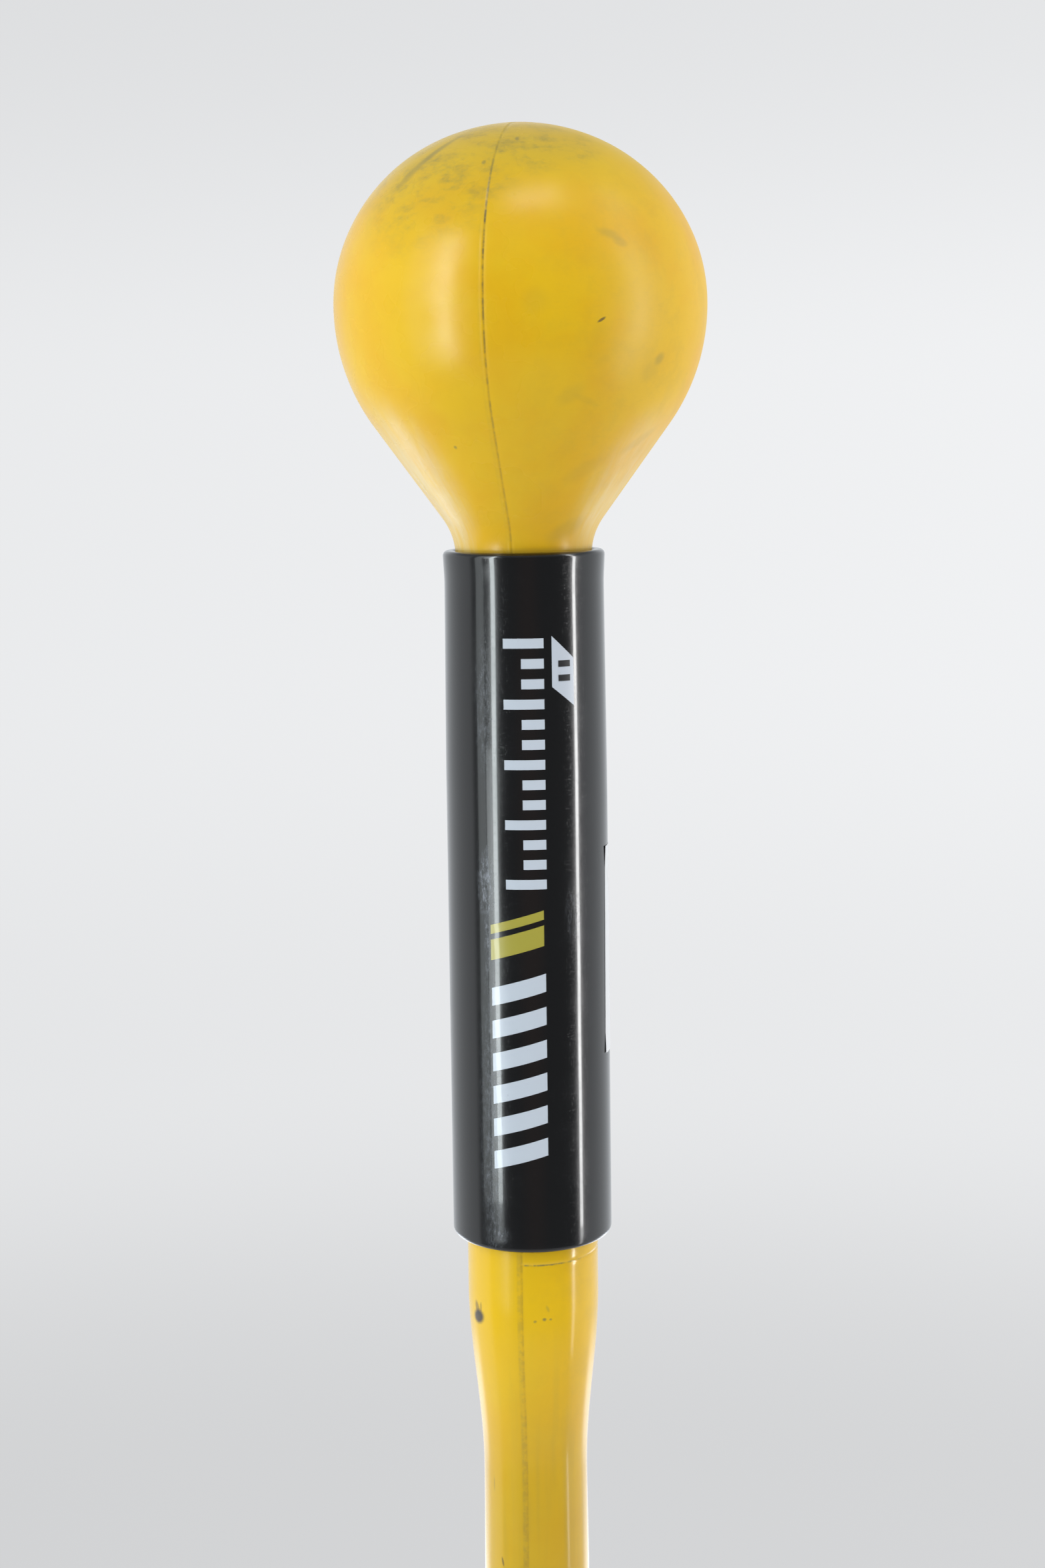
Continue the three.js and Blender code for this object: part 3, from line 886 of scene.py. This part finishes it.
def neck_dirt_and_shade(s, place, azimuth, drop, colour):
    """Dark dashes in the moulded ring under the sleeve, and a dark band of dirt and painted shade on the
    vinyl where it meets the sleeve's top edge.
    """
    broken = s.band(s.noise(place, 0.45, 3, 0.7), 0.40, 0.60)
    ring = s.band(s.math("ABSOLUTE", s.math("SUBTRACT", drop, NECK_RING_DROP)), 0.05, 0.30, 1.0, 0.0)
    part = s.math("MULTIPLY", s.band(azimuth, -0.16, -0.12), s.band(azimuth, 0.2, 1.1, 1.0, 0.25))
    dashes = s.math("ADD", s.math("MULTIPLY", broken, 0.7), 0.15)
    ring = s.math("MULTIPLY", s.math("MULTIPLY", ring, part), dashes)
    # Painted shade: a dark band on the vinyl just above the sleeve's top edge, where the ball meets the
    # sleeve, with dirt there too.
    rub_and_painted_light = s.band(drop, SLEEVE_TOP_DROP - 1.3, SLEEVE_TOP_DROP + 0.2, 0.0, 0.3)
    rub_and_painted_light = s.math("MULTIPLY", rub_and_painted_light, s.band(drop, 60, 62, 1.0, 0.0))
    return s.mix(s.math("MAXIMUM", ring, rub_and_painted_light), colour, GRIME)


SLEEVE_BLACK = (0.0045, 0.0045, 0.005, 1)
SLEEVE_BROWN = (0.011, 0.0065, 0.0055, 1)
# Pale grey of scuffs, also used to paint highlight haze and the bottom rim's reflection.
SCUFF_AND_SHEEN_COLOUR = (0.34, 0.36, 0.41, 1)
SLEEVE_MARK_RADIUS = 17.0
# Scuffs on the sleeve, one of them painted highlight haze: (azimuth, drop), (half width, half height),
# strength.
SLEEVE_SCUFFS_AND_SHEEN = [
    ((-31.0, 117.0), (1.5, 6.0), 0.9),
    ((-30.5, 129.0), (0.6, 6.0), 0.6),
    ((-25.0, 191.0), (1.9, 1.8), 0.4),
    # Painted highlight: this long band paints the haze of the left lamp's highlight.
    ((-29.0, 168.0), (2.2, 28.0), 0.35),
    ((-31.0, 80.0), (1.6, 12.0), 0.3),
    ((33.0, 123.0), (1.6, 5.0), 0.2),
    ((118.0, 72.0), (1.2, 7.0), 0.5),
    ((150.0, 150.0), (2.2, 9.0), 0.4),
    ((-95.0, 100.0), (1.4, 12.0), 0.4),
    ((-140.0, 176.0), (2.4, 4.0), 0.5),
    ((158.0, 64.0), (3.0, 2.0), 0.4),
]


def sleeve_material():
    """Glossy black plastic with brushed scuffs, hairlines, painted highlight haze at the left, and a painted
    reflection along the bottom rim at the sides.
    """
    s = Shader("black_sleeve", IOR=1.5, Coat_Roughness=0.035)
    place = s.millimetres()
    azimuth, drop = s.polar(place)
    laid_flat = s.flat(s.math("MULTIPLY", azimuth, SLEEVE_MARK_RADIUS), drop)
    upright = s.stretched(laid_flat, (2.0, 0.3, 1.0), 5, 0.75)
    scuff_and_sheen = sleeve_scuffs_and_sheen(s, azimuth, drop, laid_flat, upright)
    level = s.band(s.stretched(laid_flat, (0.5, 9.0, 1.0), 2, 0.6), 0.66, 0.70)
    crossed = s.band(s.stretched(laid_flat, (6.0, 0.5, 1.0), 2, 0.6), 0.66, 0.72)
    hairline = s.math("MAXIMUM", level, crossed)
    patch = s.band(s.noise(place, 0.07, 4, 0.65), 0.45, 0.72)
    warm = s.spot(azimuth, drop, (2, 122), (2.2, 90), SLEEVE_MARK_RADIUS, softness=0.8)
    tone = s.mix(s.math("MULTIPLY", warm, 0.8), SLEEVE_BLACK, SLEEVE_BROWN)
    fine = s.math("MULTIPLY", hairline, s.math("MULTIPLY", patch, 0.06))
    worn = s.math("ADD", s.math("MULTIPLY", scuff_and_sheen, 0.8), fine)
    # The bottom rim's pale band is a painted reflection of the bright floor.
    worn = s.math("MAXIMUM", worn, sleeve_rim_painted_reflection(s, azimuth, drop))
    rough = s.math("ADD", s.math("MULTIPLY", scuff_and_sheen, 0.3), s.math("MULTIPLY", patch, 0.06))
    s.paint(s.mix(worn, tone, SCUFF_AND_SHEEN_COLOUR), s.math("ADD", rough, 0.17))
    s.feed(s.surface.inputs["Coat Weight"], s.math("SUBTRACT", 0.5, s.math("MULTIPLY", scuff_and_sheen, 0.4)))
    height = s.math("SUBTRACT", s.math("MULTIPLY", upright, 0.25), s.math("MULTIPLY", hairline, 0.5))
    s.bump(height, 0.15, 0.00006)
    return s.material


def sleeve_scuffs_and_sheen(s, azimuth, drop, laid_flat, upright):
    """The scuffs' places and the painted highlight haze, broken into upright strokes."""
    scuff_and_sheen = 0.0
    for where, size, strength in SLEEVE_SCUFFS_AND_SHEEN:
        one = s.spot(azimuth, drop, where, size, SLEEVE_MARK_RADIUS, softness=0.7)
        scuff_and_sheen = s.math("MAXIMUM", s.math("MULTIPLY", one, strength), scuff_and_sheen)
    ragged = s.band(s.stretched(laid_flat, (1.2, 0.5, 1.0), 5, 0.8), 0.38, 0.62)
    strokes = s.band(upright, 0.38, 0.60, 0.1, 1.0)
    return s.math("MULTIPLY", scuff_and_sheen, s.math("MULTIPLY", strokes, ragged))


def sleeve_rim_painted_reflection(s, azimuth, drop):
    """A painted reflection: a pale band along the rounded bottom edge, at the sides and the back, where the
    bright floor is reflected.
    """
    edge = s.band(drop, SLEEVE_BOTTOM_DROP - 1.3, SLEEVE_BOTTOM_DROP - 0.8)
    return s.math("MULTIPLY", edge, s.band(s.math("ABSOLUTE", azimuth), 0.85, 1.2, 0.0, 0.9))


def ink_material(name, colour):
    s = Shader(name, Roughness=0.3, IOR=1.5, Coat_Weight=0.5, Coat_Roughness=0.06)
    place = s.millimetres()
    worn = s.band(s.noise(place, 0.9, 4, 0.7), 0.66, 0.78)
    s.paint(s.mix(s.math("MULTIPLY", worn, 0.35), colour, (0.05, 0.05, 0.055, 1)))
    return s.material


def label_material():
    s = Shader("white_label", IOR=1.45)
    place = s.millimetres()
    dirt = s.band(s.noise(place, 0.15, 4, 0.6), 0.5, 0.75)
    colour = s.mix(s.math("MULTIPLY", dirt, 0.25), (0.82, 0.83, 0.84, 1), (0.5, 0.47, 0.4, 1))
    s.paint(colour, s.band(dirt, 0, 1, 0.38, 0.55))
    s.bump(s.noise(place, 2.5, 2), 0.1, 0.00005)
    return s.material


def grip_material():
    s = Shader("grip_rubber", IOR=1.5)
    place = s.millimetres()
    dust = s.band(s.noise(place, 0.12, 5, 0.6), 0.4, 0.75)
    colour = s.mix(dust, (0.018, 0.018, 0.019, 1), (0.035, 0.034, 0.033, 1))
    s.paint(colour, s.band(dust, 0, 1, 0.55, 0.8))
    s.bump(s.noise(place, 3.0, 4, 0.7), 0.5, 0.00012)
    return s.material


def fibreglass_material():
    s = Shader("fibreglass", IOR=1.52)
    place = s.millimetres(kept=True)
    strands = s.stretched(place, (3.0, 3.0, 0.03), 4, 0.7)
    colour = s.mix(strands, (0.50, 0.44, 0.26, 1), (0.72, 0.67, 0.48, 1))
    s.paint(colour, s.band(strands, 0.3, 0.7, 0.35, 0.55))
    s.bump(strands, 0.3, 0.0001)
    return s.material


def steel_material():
    s = Shader("plain_steel", Metallic=1.0)
    place = s.millimetres()
    turned = s.stretched(place, (0.1, 0.1, 4.0), 3, 0.6)
    colour = s.mix(turned, (0.42, 0.43, 0.44, 1), (0.56, 0.57, 0.58, 1))
    s.paint(colour, s.band(turned, 0.3, 0.7, 0.28, 0.45))
    s.bump(turned, 0.2, 0.0001)
    return s.material


def tape_material():
    s = Shader("grip_tape", Roughness=0.8)
    place = s.millimetres()
    weave = s.stretched(place, (2.0, 2.0, 0.6), 4, 0.7)
    s.paint(s.mix(weave, (0.58, 0.52, 0.36, 1), (0.74, 0.69, 0.54, 1)))
    s.bump(weave, 0.3, 0.0001)
    return s.material


def finish_cad_nodes():
    """Materials for the hidden pieces that keep their CAD shape."""
    steel = steel_material()
    finishes = {"weight_core": steel, "neck_tube": steel, "neck_pin_1": steel, "neck_pin_2": steel}
    finishes["grip_tape"] = tape_material()
    for node, material in finishes.items():
        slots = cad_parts[node].data.materials
        slots.clear()
        slots.append(material)


# ---- Studio ----
# Brightness of the studio round the stick: level with it, above it and below it.
FRONT_LEVELS = (0.15, 0.35, 0.55)
BACK_LEVELS = (0.83, 0.45, 0.9)
TABLE_GLARE = 1.7
STUDIO_COLOUR = (0.92, 0.96, 1.0, 1)

# The bowl round the stick, in metres, and its brightness by distance from the axis plus height.
SWEEP_RADIUS = 5.5
SWEEP_HEIGHT = 8.0
COVE_RADIUS = 2.6
SWEEP_BELOW_FLOOR = 0.02
SWEEP_TILT = 0.14
SWEEP_TINT = (0.985, 0.995, 1.01)
SWEEP_LEVELS = [(0.0, 0.60), (2.0, 0.665), (3.6, 0.81), (5.3, 0.86), (6.4, 0.86), (7.8, 0.765), (9.5, 0.70)]
SWEEP_REACH = 10.0

FLOOR_COLOUR = (0.83, 0.81, 0.785, 1)
FLOOR_RADIUS = 1600
FLOOR_BELOW_BUTT = 0.5

# Upright lamps round the axis: azimuth, (width, height) in metres, radiance, height of the middle, colour.
COOL = (0.905, 0.985, 1.0)
NEUTRAL = (1.0, 1.0, 1.0)
STRIP_DISTANCE = 1.0
STRIPS = {
    "strip_left": (-46.0, (0.12, 1.34), 12.5, 1.34, COOL),
    "strip_left_edge_low": (-54.5, (0.15, 0.31), 3.9, 0.825, COOL),
    "strip_left_edge_high": (-54.5, (0.15, 0.85), 3.4, 1.585, COOL),
    "strip_left_spill": (-67.0, (0.22, 1.34), 1.5, 1.34, COOL),
    "strip_right_high": (75.0, (0.09, 0.75), 13.0, 1.625, NEUTRAL),
    "strip_right": (75.0, (0.09, 0.60), 18.5, 0.95, NEUTRAL),
    "strip_right_low": (75.0, (0.09, 0.25), 4.0, 0.525, NEUTRAL),
}
# Lamps above the ball, facing it: azimuth, elevation, (width, depth), radiance.
OVERHEAD_DISTANCE = 1.2
OVERHEADS = {
    "overhead": (21.0, 68.0, (0.60, 0.28), 4.5),
    "overhead_right": (91.0, 48.0, (0.30, 0.30), 3.0),
}


def make_softbox(name, azimuth, elevation, distance, size, radiance, height, colour):
    """A plain rectangular lamp, size = (width, height), that faces a point on the stick's axis."""
    data = bpy.data.lights.new(name, "AREA")
    data.shape = "RECTANGLE"
    data.size, data.size_y = size
    data.energy = radiance * math.pi * size[0] * size[1]
    data.color = colour
    lamp = bpy.data.objects.new(name, data)
    bpy.context.scene.collection.objects.link(lamp)
    around = math.radians(azimuth)
    up = math.radians(elevation)
    outwards = Vector((math.sin(around) * math.cos(up), -math.cos(around) * math.cos(up), math.sin(up)))
    place = Vector((0, 0, height)) + outwards * distance
    aim = (-outwards).to_track_quat("-Z", "Y").to_matrix().to_4x4()
    lamp.matrix_world = Matrix.Translation(place) @ aim
    lamp.visible_camera = False


def make_world():
    """Bright behind and beside the stick, dim in front of it, as in a white sweep open to the front."""
    world = bpy.data.worlds.new("studio")
    world.use_nodes = True
    bpy.context.scene.world = world
    s = NodeTree(world.node_tree)
    x, y, z = s.split(s.add("TexCoord").outputs["Generated"])
    behind = s.math("DIVIDE", y, s.math("MAXIMUM", s.length(x, y), 0.001))
    sides = []
    for middle, high, low in (FRONT_LEVELS, BACK_LEVELS):
        above = s.band(z, 0.30, 0.60, middle, high)
        sides.append(s.math("ADD", above, s.band(z, -0.52, -0.42, low - middle, 0.0)))
    front, back = sides
    share = s.band(behind, -0.24, -0.06)
    level = s.math("ADD", s.math("MULTIPLY", share, s.math("SUBTRACT", back, front)), front)
    table = s.math("MULTIPLY", s.band(z, -0.50, -0.38, TABLE_GLARE, 0.0), s.band(behind, 0.52, 0.74))
    background = world.node_tree.nodes["Background"]
    s.feed(background.inputs["Strength"], s.math("ADD", level, table))
    background.inputs["Color"].default_value = STUDIO_COLOUR


def make_sweep():
    """A pale bowl, seen by the camera only, whose brightness changes smoothly from floor to wall."""
    cove = arc(SWEEP_RADIUS - COVE_RADIUS, COVE_RADIUS, COVE_RADIUS, -90, 0, 40)
    floor = [(r, 0) for r in np.linspace(0, SWEEP_RADIUS - COVE_RADIUS, 30)[:-1]]
    wall = [(SWEEP_RADIUS, z) for z in np.linspace(COVE_RADIUS, SWEEP_HEIGHT, 30)[1:]]
    outline = np.array([*floor, *cove, *wall, (0, SWEEP_HEIGHT)]) - (0, SWEEP_BELOW_FLOOR)
    bowl = turn("studio_sweep", outline / MM, even_columns(96), closed=False, sharp_angle=180)
    bowl.data.materials.append(sweep_material())
    for ray in ("visible_diffuse", "visible_glossy", "visible_transmission", "visible_shadow"):
        setattr(bowl, ray, False)


def sweep_material():
    """A plain glow, a little brighter to the right."""
    material = bpy.data.materials.new("sweep_glow")
    material.use_nodes = True
    material.node_tree.nodes.clear()
    s = NodeTree(material.node_tree)
    x, y, z = s.split(s.add("TexCoord").outputs["Object"])
    ramp = s.add("ValToRGB")
    ramp.color_ramp.interpolation = "EASE"
    stops = ramp.color_ramp.elements
    for place, level in SWEEP_LEVELS:
        stop = stops.new(place / SWEEP_REACH)
        stop.color = (*[level * tint for tint in SWEEP_TINT], 1)
    stops.remove(stops[0])
    stops.remove(stops[-1])
    s.feed(ramp.inputs[0], s.math("DIVIDE", s.math("ADD", s.length(x, y), z), SWEEP_REACH))
    glow = s.add("Emission")
    s.feed(glow.inputs["Color"], ramp.outputs[0])
    tilt = s.band(x, -SWEEP_RADIUS, SWEEP_RADIUS, 1.0 - SWEEP_TILT, 1.0 + SWEEP_TILT, shape="LINEAR")
    s.feed(glow.inputs["Strength"], tilt)
    s.feed(s.add("OutputMaterial").inputs["Surface"], glow.outputs[0])
    return material


def make_floor():
    """A pale floor round the butt, which fades into the sweep."""
    outline = [(r, -FLOOR_BELOW_BUTT) for r in np.linspace(0, FLOOR_RADIUS, 24)]
    disc = turn("studio_floor", outline, even_columns(96), closed=False)
    disc.data.flip_normals()
    s = Shader("floor_paper", Roughness=0.9, Specular_IOR_Level=0.2)
    s.surface.inputs["Base Color"].default_value = FLOOR_COLOUR
    x, y, _ = s.split(s.millimetres())
    s.feed(s.surface.inputs["Alpha"], s.band(s.length(x, y), 350, 1500, 1.0, 0.0))
    disc.data.materials.append(s.material)


def make_studio():
    make_world()
    make_sweep()
    make_floor()
    for name, (azimuth, size, radiance, height, colour) in STRIPS.items():
        make_softbox(name, azimuth, 0.0, STRIP_DISTANCE, size, radiance, height, colour)
    for name, (azimuth, elevation, size, radiance) in OVERHEADS.items():
        make_softbox(name, azimuth, elevation, OVERHEAD_DISTANCE, size, radiance, HEAD_Z * MM, NEUTRAL)
    bpy.context.scene.view_settings.view_transform = "Standard"


make_camera()
make_cover()
make_rod()
make_sleeve()
make_prints()
make_label()
make_grip()
finish_cad_nodes()
make_studio()
